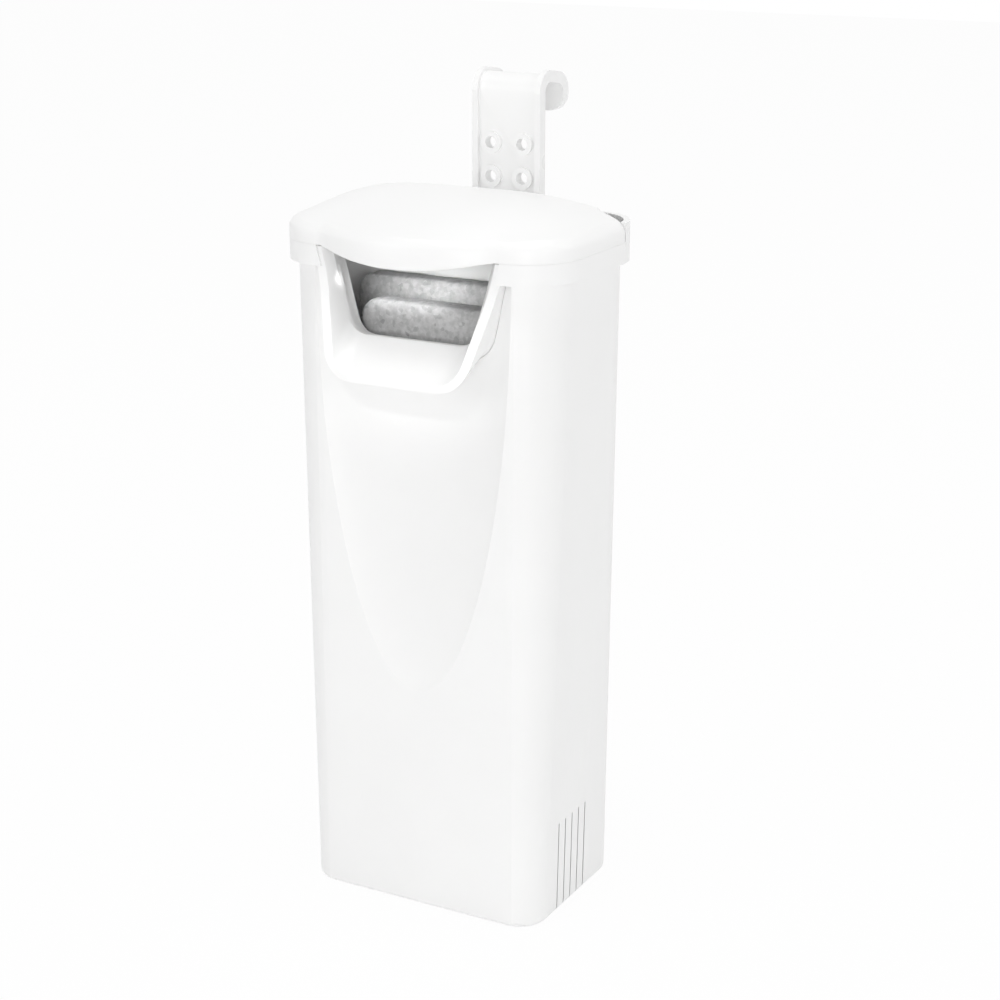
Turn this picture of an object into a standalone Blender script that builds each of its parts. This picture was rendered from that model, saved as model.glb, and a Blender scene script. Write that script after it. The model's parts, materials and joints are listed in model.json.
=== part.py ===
"""Waterfall internal power filter for a small tank, built piece by piece.

Units are metres and +Z is up. The front, with the spout, faces -Y. The origin is the
middle of the case's underside. Every size that can be set by itself is a named value.
"""
import math

import bmesh
import bpy
from mathutils import Matrix, Vector

MM = 0.001

# Clearances
SEAT_GAP = 0.3 * MM
SLIDE_GAP = 0.6 * MM
OVERCUT = 3.0 * MM

# Case: a tapered, round-cornered pot
CASE_HALF_BOTTOM = 37.4 * MM
CASE_SIDE_DRAFT = math.radians(1.2)
CASE_HALF_DEPTH = 26.2 * MM
CASE_CORNER = 13.0 * MM
CASE_CORNER_BOTTOM = 8.5 * MM
CASE_WALL = 2.0 * MM
CASE_FLOOR = 2.2 * MM
CASE_RIM_Z = 187.0 * MM
CASE_EDGE_ROUND = 1.6 * MM

# Chute: the shallow hollow that leads the water down the front
CHUTE_HALF_WIDTH = 30.7 * MM
CHUTE_TIP_Z = 66.7 * MM
CHUTE_CENTRE_Z = 192.0 * MM
CHUTE_DEPTH = 6.0 * MM
CHUTE_BULGE = 4.0 * MM

# Intake slots low on both sides
SLOT_COUNT = 5
SLOT_PITCH = 4.1 * MM
SLOT_WIDTH = 1.8 * MM
SLOT_TOP_Z = 28.0 * MM
SLOT_MIDDLE_Y = -2.8 * MM

# Collar, spout and lid
COLLAR_OVERHANG = 2.5 * MM
COLLAR_LOW_Z = 185.7 * MM
COLLAR_SHELF = 2.4 * MM
COLLAR_SHELF_REACH = 4.0 * MM
COLLAR_UPSTAND = 2.2 * MM
COLLAR_UPSTAND_WALL = 1.5 * MM
FLANGE = 1.4 * MM

SPOUT_HALF_WIDTH = 29.4 * MM
SPOUT_SLOPE = 0.26
SPOUT_WALL = 2.4 * MM
SPOUT_FLOOR = 1.8 * MM
SPOUT_SILL_Z = 165.1 * MM
SPOUT_LIP_Z = 158.6 * MM
SPOUT_CORNER = 10.0 * MM
SPOUT_FRONT_PROUD = 2.0 * MM
SPOUT_LIP_PROUD = 9.8 * MM
SPOUT_LEAN_Z = 183.0 * MM
WEIR_SETBACK = 0.4 * MM
WEIR_Z = 167.6 * MM
WEIR_INSET = 4.3 * MM
WEIR_THICKNESS = 1.5 * MM

LID_WALL = 1.8 * MM
LID_SKIRT = 4.5 * MM
LID_CROWN = 8.7 * MM
LID_EDGE_ROUND = 1.8 * MM
LID_SIDE_POWER = 4.0
LID_END_POWER = 1.8
LID_EDGE_INSETS = (0.0, 0.25, 0.55, 1.0, 2.2)
LID_RING_SHARES = (0.78, 0.69, 0.57, 0.42, 0.24)
LID_CAP_SHARE = 0.1
VISOR_HALF_WIDTH = 26.6 * MM
VISOR_REACH = 7.3 * MM
VISOR_DROP = 3.2 * MM

# Cord outlet at the rear right corner: a lug on the collar and a scoop in the lid
OUTLET_WIDTH = 6.6 * MM
OUTLET_FROM = math.radians(4)
OUTLET_TO = math.radians(84)
LUG_WALL = 1.8 * MM
LUG_HEIGHT = 5.3 * MM

# Tray and the two pads that stand in it
TRAY_FLOOR_Z = 66.0 * MM
TRAY_WALL = 1.5 * MM
TRAY_FRONT_ROOM = 8.7 * MM
TRAY_BACK_ROOM = 14.1 * MM
TRAY_CORNER = 4.0 * MM
TRAY_WINDOW_MARGIN = 2.0 * MM
PORT_RADIUS = 4.5 * MM
PORT_WALL = 1.5 * MM
PORT_DEPTH = 9.0 * MM
PAD_SHARE = 6 / 19
FRONT_PAD_HALF_WIDTH = 22.8 * MM
FRONT_PAD_TOP_Z = 175.2 * MM
REAR_PAD_TOP_Z = 178.2 * MM
PAD_CORNER = 5.0 * MM
PAD_EDGE_ROUND = 1.6 * MM
PAD_ROUND_STEPS = ((0, 1), (0.12, 0.4), (0.3, 0), (0.7, 0), (0.88, 0.4), (1, 1))

# Hanger: a channel-section strap bent into a hook
HANGER_MIDDLE_X = -1.5 * MM
HANGER_HALF_WIDTH = 10.9 * MM
HANGER_STRAP = 2.2 * MM
HANGER_RIM = 1.1 * MM
HANGER_RIM_WIDTH = 1.8 * MM
HANGER_FOOT_MARGIN = 5.7 * MM
HANGER_TOP_Z = 233.7 * MM
HANGER_GAP = 11.0 * MM
HANGER_BEND = 2.8 * MM
HANGER_SAG = math.radians(9)
HANGER_LEG = 0.4 * MM
HANGER_LEG_ROUND = 5.0 * MM
HANGER_LEG_NARROWING = 0.9
HANGER_STEPS = 7
HOLE_RADIUS = 1.75 * MM
HOLE_BOSS_RADIUS = 3.2 * MM
HOLE_BOSS = 0.9 * MM
HOLE_PITCH_X = 10.0 * MM
HOLE_PITCH_Z = 9.6 * MM
HOLE_TOP_DROP = 20.5 * MM
PEG_ROWS = 2
PEG_DROP = 21.8 * MM
PEG_PROUD = 0.9 * MM
PEG_PAD_STAND = 2.8 * MM
PEG_PAD_MARGIN = 4.4 * MM

# Pump on the case floor, with its shaft along X
PUMP_AXIS_Z = 25.0 * MM
PUMP_END_ROOM = 2.9 * MM
PUMP_BODY_LENGTH = 31.0 * MM
PUMP_BODY_HALF = 16.5 * MM
PUMP_BODY_ROUND = 4.0 * MM
PUMP_BODY_CHAMFER = 1.5 * MM
WELL_RADIUS = 6.2 * MM
WELL_DEPTH = 24.0 * MM
BUSH_RADIUS = 3.0 * MM
BUSH_LENGTH = 4.0 * MM
SHAFT_RADIUS = 1.0 * MM
SHAFT_GAP = 0.15 * MM
ROTOR_GAP = 0.6 * MM
COVER_LENGTH = 17.0 * MM
COVER_RADIUS = 15.5 * MM
COVER_WALL = 2.4 * MM
INLET_COUNT = 6
INLET_RADIUS = 2.3 * MM
INLET_CIRCLE = 8.0 * MM
BLADE_COUNT = 6
BLADE_LENGTH = 8.0 * MM
BLADE_THICK = 1.2 * MM
BLADE_GAP = 1.6 * MM
HUB_RADIUS = 3.6 * MM
SEAL_RADIUS = 13.6 * MM
SEAL_SECTION = 0.8 * MM
NOZZLE_RADIUS = 4.2 * MM
NOZZLE_WALL = 1.6 * MM
NOZZLE_TOP_Z = 49.0 * MM
RISER_WALL = 1.5 * MM
RISER_OVERLAP = 6.0 * MM
GROMMET_HEIGHT = 2.6 * MM
GROMMET_WALL = 2.6 * MM
FOOT_RADIUS = 4.2 * MM
FOOT_WAIST = 0.7
FOOT_HEAD = 0.85
FOOT_HOLE = 0.2
GLAND_RADIUS = 3.4 * MM
GLAND_FLANGE = 5.0 * MM
GLAND_LENGTH = 5.5 * MM
GLAND_FLANGE_SHARE = 0.3
GLAND_TIP = 0.85
GLAND_HOLE = 0.7

# Facet counts
CORNER_STEPS = 8
ROUND_STEPS = 24
CHUTE_STEPS = 60
VISOR_STEPS = 16
SPOUT_SIDE_STEPS = 5
OUTLET_STEPS = 12
SMALL_STEPS = 16
SEAL_STEPS = 32
SEAL_SECTION_STEPS = 8

# Sizes that follow from the ones above
FLANGE_LOW_Z = CASE_RIM_Z + SEAT_GAP
FLANGE_TOP_Z = FLANGE_LOW_Z + FLANGE
SHELF_LOW_Z = FLANGE_TOP_Z + SEAT_GAP
SHELF_TOP_Z = SHELF_LOW_Z + COLLAR_SHELF
LID_LOW_Z = SHELF_TOP_Z + SEAT_GAP
LID_EDGE_Z = LID_LOW_Z + LID_SKIRT
SPOUT_FRONT_Y = -CASE_HALF_DEPTH - SPOUT_FRONT_PROUD
SPOUT_LIP_Y = -CASE_HALF_DEPTH - SPOUT_LIP_PROUD
WEIR_Y = -CASE_HALF_DEPTH + WEIR_SETBACK
TRAY_FRONT_Y = -CASE_HALF_DEPTH + TRAY_FRONT_ROOM
TRAY_BACK_Y = CASE_HALF_DEPTH - TRAY_BACK_ROOM
SPOUT_REAR_Y = TRAY_FRONT_Y - SLIDE_GAP
PAD_THICKNESS = (TRAY_BACK_Y - TRAY_FRONT_Y - 2 * TRAY_WALL) * PAD_SHARE
PAD_SPACING = 2 * PAD_THICKNESS
HANGER_FRONT_Y = CASE_HALF_DEPTH + PEG_PAD_STAND + SEAT_GAP
HANGER_BACK_Y = HANGER_FRONT_Y + HANGER_RIM + HANGER_STRAP
HOLE_TOP_Z = HANGER_TOP_Z - HOLE_TOP_DROP
HOLE_LOW_Z = CASE_RIM_Z - PEG_DROP
HOLE_ROWS = 1 + round((HOLE_TOP_Z - HOLE_LOW_Z) / HOLE_PITCH_Z)
HOLE_STEP_Z = (HOLE_TOP_Z - HOLE_LOW_Z) / (HOLE_ROWS - 1)
HANGER_LOW_Z = HOLE_LOW_Z - HANGER_FOOT_MARGIN
PUMP_BODY_LEFT = -(CASE_HALF_BOTTOM - CASE_WALL - PUMP_END_ROOM - GLAND_LENGTH)
PUMP_BODY_RIGHT = PUMP_BODY_LEFT + PUMP_BODY_LENGTH
PUMP_AXIS = Vector((0, 0, PUMP_AXIS_Z))


def case_half_width(z):
    """Outside half-width of the case at a height."""
    return CASE_HALF_BOTTOM + math.tan(CASE_SIDE_DRAFT) * z


def case_corner(z):
    """Corner radius of the case at a height; it tightens towards the bottom."""
    return CASE_CORNER_BOTTOM + (CASE_CORNER - CASE_CORNER_BOTTOM) * z / CASE_RIM_Z


TOP_HALF_WIDTH = case_half_width(CASE_RIM_Z)
LID_HALF_WIDTH = TOP_HALF_WIDTH + COLLAR_OVERHANG
LID_HALF_DEPTH = CASE_HALF_DEPTH + COLLAR_OVERHANG
LID_CORNER = CASE_CORNER + COLLAR_OVERHANG


def clear_scene():
    """Empty the scene and make the two collections."""
    for old in list(bpy.data.objects):
        bpy.data.objects.remove(old, do_unlink=True)
    groups = []
    for name in ("internal_power_filter", "cutters"):
        group = bpy.data.collections.new(name)
        bpy.context.scene.collection.children.link(group)
        groups.append(group)
    return groups


PARTS, CUTTERS = clear_scene()


def material(name, colour, roughness):
    """One plain Principled material."""
    made = bpy.data.materials.new(name)
    made.use_nodes = True
    shader = made.node_tree.nodes["Principled BSDF"]
    shader.inputs["Base Color"].default_value = (*colour, 1)
    shader.inputs["Roughness"].default_value = roughness
    return made


WHITE = (0.90, 0.90, 0.89)
GREY_FELT = (0.36, 0.36, 0.35)
DARK_PLASTIC = (0.05, 0.055, 0.06)
BLACK_RUBBER = (0.025, 0.025, 0.025)
MAGNET_GREY = (0.10, 0.10, 0.105)
CERAMIC = (0.86, 0.85, 0.82)


def add_object(name, bm, group):
    """Turn a bmesh into an object whose round faces are shaded smooth."""
    mesh = bpy.data.meshes.new(name)
    bmesh.ops.recalc_face_normals(bm, faces=bm.faces)
    bm.to_mesh(mesh)
    bm.free()
    mesh.shade_smooth()
    mesh.set_sharp_from_angle(angle=math.radians(32))
    made = bpy.data.objects.new(name, mesh)
    group.objects.link(made)
    return made


def part(name, bm, colour, roughness=0.35):
    """A visible piece with a material of its own."""
    made = add_object(name, bm, PARTS)
    made.data.materials.append(material(name, colour, roughness))
    return made


def cutter(name, bm):
    """A hidden piece that shapes another."""
    made = add_object(name, bm, CUTTERS)
    made.hide_render = True
    made.display_type = "WIRE"
    return made


def boolean(target, tool, operation):
    """Cut a hidden piece out of another, or join it on."""
    step = target.modifiers.new(tool.name, "BOOLEAN")
    step.operation = operation
    step.solver = "EXACT"
    step.object = tool


def cut(target, *tools):
    for tool in tools:
        boolean(target, tool, "DIFFERENCE")


def join(target, *tools):
    for tool in tools:
        boolean(target, tool, "UNION")


def loft(rings, closed=False):
    """Skin equal rings of points; its two ends are capped unless the row of rings is closed."""
    bm = bmesh.new()
    rows = [[bm.verts.new(point) for point in ring] for ring in rings]
    pairs = list(zip(rows, rows[1:]))
    if closed:
        pairs.append((rows[-1], rows[0]))
    for low, high in pairs:
        for i, corner in enumerate(low):
            j = (i + 1) % len(low)
            bm.faces.new((corner, low[j], high[j], high[i]))
    if not closed:
        bm.faces.new(list(reversed(rows[0])))
        bm.faces.new(rows[-1])
    return bm


def box(low, high):
    """A block between two corners."""
    bm = bmesh.new()
    size = Vector(high) - Vector(low)
    place = Matrix.Translation((Vector(low) + Vector(high)) / 2) @ Matrix.Diagonal((*size, 1))
    bmesh.ops.create_cube(bm, size=1, matrix=place)
    return bm


AXIS_TURN = {
    "X": Matrix.Rotation(math.radians(90), 4, "Y"),
    "Y": Matrix.Rotation(math.radians(90), 4, "X"),
    "Z": Matrix.Identity(4),
}


def rods(centres, radius, length, axis, steps=ROUND_STEPS):
    """Round rods of one size, each centred on its point."""
    bm = bmesh.new()
    for centre in centres:
        place = Matrix.Translation(centre) @ AXIS_TURN[axis]
        bmesh.ops.create_cone(bm, cap_ends=True, segments=steps, radius1=radius,
                              radius2=radius, depth=length, matrix=place)
    return bm


def turned(profile, axis, centre, steps=ROUND_STEPS):
    """Turn a closed outline of (radius, height) points about an axis through a point."""
    rings = []
    place = Matrix.Translation(centre) @ AXIS_TURN[axis]
    for i in range(steps):
        angle = math.tau * i / steps
        rings.append([place @ Vector((r * math.cos(angle), r * math.sin(angle), h)) for r, h in profile])
    return loft(rings, closed=True)


def tube_profile(inner, outer, low, high):
    """The outline that turns into a plain tube."""
    return [(outer, low), (outer, high), (inner, high), (inner, low)]


def outline(half_x, half_y, corner, z, middle_y=0.0, steps=CORNER_STEPS):
    """A round-cornered rectangle at a height, counter-clockwise from its right side."""
    points = []
    for quarter, (sign_x, sign_y) in enumerate(((1, 1), (-1, 1), (-1, -1), (1, -1))):
        centre_x = sign_x * (half_x - corner)
        centre_y = sign_y * (half_y - corner) + middle_y
        for i in range(steps + 1):
            angle = math.radians(90) * (quarter + i / steps)
            points.append(Vector((centre_x + corner * math.cos(angle),
                                  centre_y + corner * math.sin(angle), z)))
    return points


def case_ring(z, inset):
    """The case's outline at a height, drawn in by an inset."""
    return outline(case_half_width(z) - inset, CASE_HALF_DEPTH - inset, case_corner(z) - inset, z)


def top_ring(offset, z):
    """The outline at the case's rim, let out by an offset."""
    return outline(TOP_HALF_WIDTH + offset, CASE_HALF_DEPTH + offset, CASE_CORNER + offset, z)


def corner_sector(inner_inset, outer_inset, low_z, high_z, end_gap=0.0):
    """A curved bar round the rear right corner, between two insets from the lid's edge."""
    start = OUTLET_FROM - end_gap / LID_CORNER
    sweep = OUTLET_TO - OUTLET_FROM + 2 * end_gap / LID_CORNER
    centre_x = LID_HALF_WIDTH - LID_CORNER
    centre_y = LID_HALF_DEPTH - LID_CORNER
    section = ((LID_CORNER - inner_inset, low_z), (LID_CORNER - outer_inset, low_z),
               (LID_CORNER - outer_inset, high_z), (LID_CORNER - inner_inset, high_z))
    rings = []
    for i in range(OUTLET_STEPS + 1):
        angle = start + sweep * i / OUTLET_STEPS
        rings.append([(centre_x + r * math.cos(angle), centre_y + r * math.sin(angle), z)
                      for r, z in section])
    return loft(rings)


def spout_line(inset, bottom_z, top_z):
    """The spout's U seen from the front, from its left top to its right top, as (x, z) points."""
    run = math.sqrt(1 + SPOUT_SLOPE ** 2)
    corner = SPOUT_CORNER - inset
    side = SPOUT_HALF_WIDTH - inset * run
    centre_z = bottom_z + corner
    centre_x = side - SPOUT_SLOPE * (SHELF_TOP_Z - centre_z) - corner * run
    lean = math.atan(SPOUT_SLOPE)
    right = []
    for i in range(CORNER_STEPS + 1):
        angle = -math.pi / 2 + (math.pi / 2 - lean) * i / CORNER_STEPS
        right.append((centre_x + corner * math.cos(angle), centre_z + corner * math.sin(angle)))
    side_low_z = right[-1][1]
    for i in range(1, SPOUT_SIDE_STEPS + 1):
        z = side_low_z + (top_z - side_low_z) * i / SPOUT_SIDE_STEPS
        right.append((side - SPOUT_SLOPE * (SHELF_TOP_Z - z), z))
    left = [(-x, z) for x, z in reversed(right)]
    return left + right


def spout_front_y(z):
    """Where the leaning front edge of the spout lies at a height."""
    lean = (SPOUT_LIP_Y - SPOUT_FRONT_Y) / (SPOUT_LEAN_Z - SPOUT_LIP_Z)
    return SPOUT_FRONT_Y + lean * max(0.0, SPOUT_LEAN_Z - z)


def spout_channel():
    """The trough of the spout, swept along its U: a lip, a steep apron and the weir before the pads."""
    top_z = SHELF_TOP_Z - SEAT_GAP
    weir_back_y = WEIR_Y + WEIR_THICKNESS
    lines = (spout_line(0, SPOUT_LIP_Z - SPOUT_FLOOR, top_z),
             spout_line(SPOUT_WALL, SPOUT_LIP_Z, top_z),
             spout_line(WEIR_INSET, WEIR_Z, top_z),
             spout_line(SPOUT_WALL, SPOUT_SILL_Z, top_z),
             spout_line(0, SPOUT_SILL_Z - SPOUT_FLOOR, top_z))
    rings = []
    for under, lip, weir, throat, rear in zip(*lines):
        front_y = spout_front_y(under[1])
        path = ((under, front_y), (lip, front_y), (weir, WEIR_Y), (weir, weir_back_y),
                (throat, weir_back_y), (throat, SPOUT_REAR_Y), (rear, SPOUT_REAR_Y), (rear, WEIR_Y))
        rings.append([(x, y, z) for (x, z), y in path])
    return loft(rings)


def spout_prism(inset, bottom_z, front_y, back_y):
    """The spout's U as a solid block that is open upwards, for cutting room for it."""
    line = spout_line(inset, bottom_z, SHELF_TOP_Z)
    line = [(line[0][0], LID_EDGE_Z)] + line + [(line[-1][0], LID_EDGE_Z)]
    return loft([[(x, y, z) for x, z in line] for y in (front_y, back_y)])


def chute_form(name, grow):
    """The long egg that hollows the front; grow leaves the wall behind it."""
    across = CHUTE_BULGE + CHUTE_DEPTH
    spread = math.sqrt(1 - (CHUTE_BULGE / across) ** 2)
    half = Vector((CHUTE_HALF_WIDTH / spread, across, (CHUTE_CENTRE_Z - CHUTE_TIP_Z) / spread))
    place = Matrix.Translation((0, -CASE_HALF_DEPTH - CHUTE_BULGE, CHUTE_CENTRE_Z))
    place = place @ Matrix.Diagonal((half.x + grow, half.y + grow, half.z + grow, 1))
    bm = bmesh.new()
    bmesh.ops.create_uvsphere(bm, u_segments=CHUTE_STEPS, v_segments=CHUTE_STEPS, radius=1, matrix=place)
    return cutter(name, bm)


def rounded_bottom(inset_of, height, steps=4):
    """Rings that round the lower outside edge of a pot."""
    rings = []
    for i in range(steps + 1):
        angle = math.pi / 2 * i / steps
        rings.append(inset_of(height * (1 - math.sin(angle)), height * (1 - math.cos(angle))))
    return rings


def hole_places(first_row):
    """The middles of the hanger's holes as (x, z), from a row down to the lowest."""
    places = []
    for row in range(first_row, HOLE_ROWS):
        for side in (-1, 1):
            places.append((HANGER_MIDDLE_X + side * HOLE_PITCH_X / 2, HOLE_TOP_Z - row * HOLE_STEP_Z))
    return places


def build_case():
    """The tapered pot with its chute, spout notch, slots and hanger pegs."""
    rings = rounded_bottom(lambda inset, z: case_ring(z, inset), CASE_EDGE_ROUND)
    case = part("outer_case", loft(rings + [case_ring(CASE_RIM_Z, 0)]), WHITE, 0.30)
    hollow = cutter("case_hollow", loft([case_ring(CASE_FLOOR, CASE_WALL),
                                         case_ring(CASE_RIM_Z + OVERCUT, CASE_WALL)]))
    cut(hollow, chute_form("chute_back", CASE_WALL))
    cut(case, chute_form("chute_front", 0), hollow)
    notch_z = SPOUT_SILL_Z - SPOUT_FLOOR - SEAT_GAP
    notch = spout_prism(-SEAT_GAP, notch_z, SPOUT_LIP_Y, TRAY_FRONT_Y + OVERCUT)
    cut(case, cutter("spout_notch", notch))
    for side in (-1, 1):
        for i in range(SLOT_COUNT):
            middle = SLOT_MIDDLE_Y + (i - (SLOT_COUNT - 1) / 2) * SLOT_PITCH
            inner = CASE_HALF_BOTTOM - 2 * CASE_WALL
            outer = case_half_width(SLOT_TOP_Z) + OVERCUT
            low = (min(side * inner, side * outer), middle - SLOT_WIDTH / 2, -OVERCUT)
            high = (max(side * inner, side * outer), middle + SLOT_WIDTH / 2, SLOT_TOP_Z)
            cut(case, cutter("intake_slot", box(low, high)))
    places = hole_places(HOLE_ROWS - PEG_ROWS)
    reach = HOLE_PITCH_X / 2 + PEG_PAD_MARGIN
    low_z = min(z for x, z in places) - PEG_PAD_MARGIN
    high_z = max(z for x, z in places) + PEG_PAD_MARGIN
    back = CASE_HALF_DEPTH - CASE_WALL / 2
    pad_face = CASE_HALF_DEPTH + PEG_PAD_STAND
    join(case, cutter("peg_pad", box((HANGER_MIDDLE_X - reach, back, low_z),
                                     (HANGER_MIDDLE_X + reach, pad_face, high_z))))
    peg_end = HANGER_BACK_Y + PEG_PROUD
    peg_middle = (back + peg_end) / 2
    centres = [Vector((x, peg_middle, z)) for x, z in places]
    join(case, cutter("pegs", rods(centres, HOLE_RADIUS - SEAT_GAP, peg_end - back, "Y", SMALL_STEPS)))
    return case


def build_spout_frame():
    """The collar that caps the case, with the spout at its front and the cord lug behind."""
    skirt_in = SEAT_GAP
    upstand_out = COLLAR_OVERHANG - LID_WALL - SLIDE_GAP
    upstand_in = upstand_out - COLLAR_UPSTAND_WALL
    upstand_z = SHELF_TOP_Z + COLLAR_UPSTAND
    section = ((COLLAR_OVERHANG, COLLAR_LOW_Z), (COLLAR_OVERHANG, SHELF_TOP_Z), (upstand_out, SHELF_TOP_Z),
               (upstand_out, upstand_z), (upstand_in, upstand_z), (upstand_in, SHELF_TOP_Z),
               (-COLLAR_SHELF_REACH, SHELF_TOP_Z), (-COLLAR_SHELF_REACH, SHELF_LOW_Z),
               (skirt_in, SHELF_LOW_Z), (skirt_in, COLLAR_LOW_Z))
    frame = part("spout_frame", loft([top_ring(o, z) for o, z in section], closed=True), WHITE, 0.30)
    mouth = spout_prism(SPOUT_WALL / 2, SPOUT_SILL_Z, SPOUT_LIP_Y - OVERCUT, TRAY_FRONT_Y + OVERCUT)
    cut(frame, cutter("collar_mouth", mouth))
    join(frame, cutter("spout_channel", spout_channel()))
    outlet_in = LUG_WALL + OUTLET_WIDTH
    cut(frame, cutter("collar_outlet", corner_sector(outlet_in, LUG_WALL, COLLAR_LOW_Z + COLLAR_SHELF,
                                                     upstand_z + OVERCUT)))
    join(frame, cutter("cord_lug", corner_sector(LUG_WALL, 0, SHELF_LOW_Z, SHELF_TOP_Z + LUG_HEIGHT)))
    return frame


def lid_outline(inset):
    """The lid's edge: the collar's outline with the visor swelling out of its front."""
    front = LID_HALF_DEPTH - inset
    ring = outline(LID_HALF_WIDTH - inset, front, LID_CORNER - inset, 0)
    turn = 3 * (CORNER_STEPS + 1)
    visor = []
    for i in range(VISOR_STEPS + 1):
        share = 2 * i / VISOR_STEPS - 1
        visor.append(Vector((VISOR_HALF_WIDTH * share, -front - VISOR_REACH * (1 - share ** 2), 0)))
    return ring[:turn] + visor + ring[turn:]


def lid_top(x, y):
    """Height of the lid's domed upper face."""
    across = 1 - min(1.0, abs(x) / LID_HALF_WIDTH) ** LID_SIDE_POWER
    along = 1 - min(1.0, abs(y) / LID_HALF_DEPTH) ** LID_END_POWER
    return LID_EDGE_Z + LID_CROWN * across * along


def lid_low(x, y):
    """Height of the lid's lower edge, which droops along the visor."""
    reach = max(0.0, -LID_HALF_DEPTH - y) / VISOR_REACH
    return LID_LOW_Z - VISOR_DROP * reach


def lid_rings(edge, drop):
    """Rings of a domed face, from its edge to the crown, a drop below the lid's upper face."""
    rings = []
    for inset in LID_EDGE_INSETS:
        turn = 1 - min(1.0, inset)
        rounding = LID_EDGE_ROUND * (1 - math.sqrt(1 - turn ** 2))
        share = 1 - LID_EDGE_ROUND * inset / LID_HALF_DEPTH
        rings.append([(p.x * share, p.y * share, lid_top(p.x * share, p.y * share) - drop - rounding)
                      for p in edge])
    for share in LID_RING_SHARES:
        rings.append([(p.x * share, p.y * share, lid_top(p.x * share, p.y * share) - drop) for p in edge])
    cap_z = lid_top(0, LID_HALF_DEPTH * LID_CAP_SHARE) - drop
    rings.append([(p.x * LID_CAP_SHARE, p.y * LID_CAP_SHARE, cap_z) for p in edge])
    return rings


def build_lid():
    """The domed lid, hollow below, with a visor over the spout and a scoop for the cord."""
    edge = lid_outline(0)
    inner_edge = lid_outline(LID_WALL)
    upper = lid_rings(edge, 0)
    lower = lid_rings(inner_edge, LID_WALL)
    foot = [(p.x, p.y, lid_low(p.x, p.y)) for p in edge]
    inner_foot = [(q.x, q.y, lid_low(p.x, p.y)) for p, q in zip(edge, inner_edge)]
    lid = part("lid", loft(list(reversed(lower)) + [inner_foot, foot] + upper), WHITE, 0.28)
    scoop = corner_sector(LUG_WALL + OUTLET_WIDTH, -OVERCUT, LID_LOW_Z - OVERCUT, LID_EDGE_Z + LID_CROWN,
                          SLIDE_GAP)
    cut(lid, cutter("lid_scoop", scoop))
    return lid


def tray_ring(z, inset):
    """The tray's outline at a height."""
    half_x = case_half_width(z) - CASE_WALL - SLIDE_GAP - inset
    half_y = (TRAY_BACK_Y - TRAY_FRONT_Y) / 2 - inset
    return outline(half_x, half_y, TRAY_CORNER - inset, z, (TRAY_BACK_Y + TRAY_FRONT_Y) / 2)


def build_tray():
    """The tray that hangs from the case's rim and holds the pads."""
    tray = part("media_tray", loft([tray_ring(TRAY_FLOOR_Z, 0), tray_ring(FLANGE_TOP_Z - FLANGE / 2, 0)]),
                WHITE, 0.4)
    flange = loft([top_ring(-SEAT_GAP, FLANGE_LOW_Z), top_ring(-SEAT_GAP, FLANGE_TOP_Z)])
    join(tray, cutter("tray_flange", flange))
    port_low = TRAY_FLOOR_Z - PORT_DEPTH
    port_x = nozzle_x()
    port_middle = Vector((port_x, 0, (port_low + TRAY_FLOOR_Z + TRAY_WALL / 2) / 2))
    port_length = PORT_DEPTH + TRAY_WALL / 2
    join(tray, cutter("tray_port", rods([port_middle], PORT_RADIUS + PORT_WALL, port_length, "Z")))
    cut(tray, cutter("tray_hollow", loft([tray_ring(TRAY_FLOOR_Z + TRAY_WALL, TRAY_WALL),
                                          tray_ring(FLANGE_TOP_Z + OVERCUT, TRAY_WALL)])))
    bore_length = PORT_DEPTH + 2 * OVERCUT
    bore_middle = Vector((port_x, 0, TRAY_FLOOR_Z + TRAY_WALL + OVERCUT / 2 - bore_length / 2))
    cut(tray, cutter("port_bore", rods([bore_middle], PORT_RADIUS, bore_length + OVERCUT, "Z")))
    front_y = -LID_HALF_DEPTH - OVERCUT
    window = spout_prism(-TRAY_WINDOW_MARGIN, SPOUT_SILL_Z, front_y, TRAY_FRONT_Y + OVERCUT)
    cut(tray, cutter("tray_window", window))
    throat = spout_prism(-SLIDE_GAP, SPOUT_SILL_Z - 2 * SPOUT_FLOOR, front_y, SPOUT_REAR_Y + SEAT_GAP)
    cut(tray, cutter("tray_throat", throat))
    outlet = corner_sector(LUG_WALL + OUTLET_WIDTH + CASE_WALL, COLLAR_OVERHANG + CASE_WALL,
                           FLANGE_LOW_Z - OVERCUT, FLANGE_TOP_Z + OVERCUT)
    cut(tray, cutter("tray_outlet", outlet))
    return tray


def pad_form(half_width, low_z, high_z, front_y):
    """A foam sheet standing on edge, with round corners and soft edges."""
    height = high_z - low_z
    middle_z = (low_z + high_z) / 2
    rings = []
    for depth, rounding in PAD_ROUND_STEPS:
        inset = PAD_EDGE_ROUND * rounding
        face = outline(half_width - inset, height / 2 - inset, PAD_CORNER - inset, 0)
        y = front_y + PAD_THICKNESS * depth
        rings.append([(p.x, y, middle_z + p.y) for p in face])
    return loft(rings)


def build_pads():
    """The front and the rear filter pad."""
    low_z = TRAY_FLOOR_Z + TRAY_WALL + SEAT_GAP
    front_y = TRAY_FRONT_Y + TRAY_WALL + SEAT_GAP
    rear_half = case_half_width(low_z) - CASE_WALL - SLIDE_GAP - TRAY_WALL - SEAT_GAP
    front = pad_form(FRONT_PAD_HALF_WIDTH, low_z, FRONT_PAD_TOP_Z, front_y)
    rear = pad_form(rear_half, low_z, REAR_PAD_TOP_Z, front_y + PAD_SPACING)
    return [part("front_filter_pad", front, GREY_FELT, 0.95),
            part("rear_filter_pad", rear, GREY_FELT, 0.95)]


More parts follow.
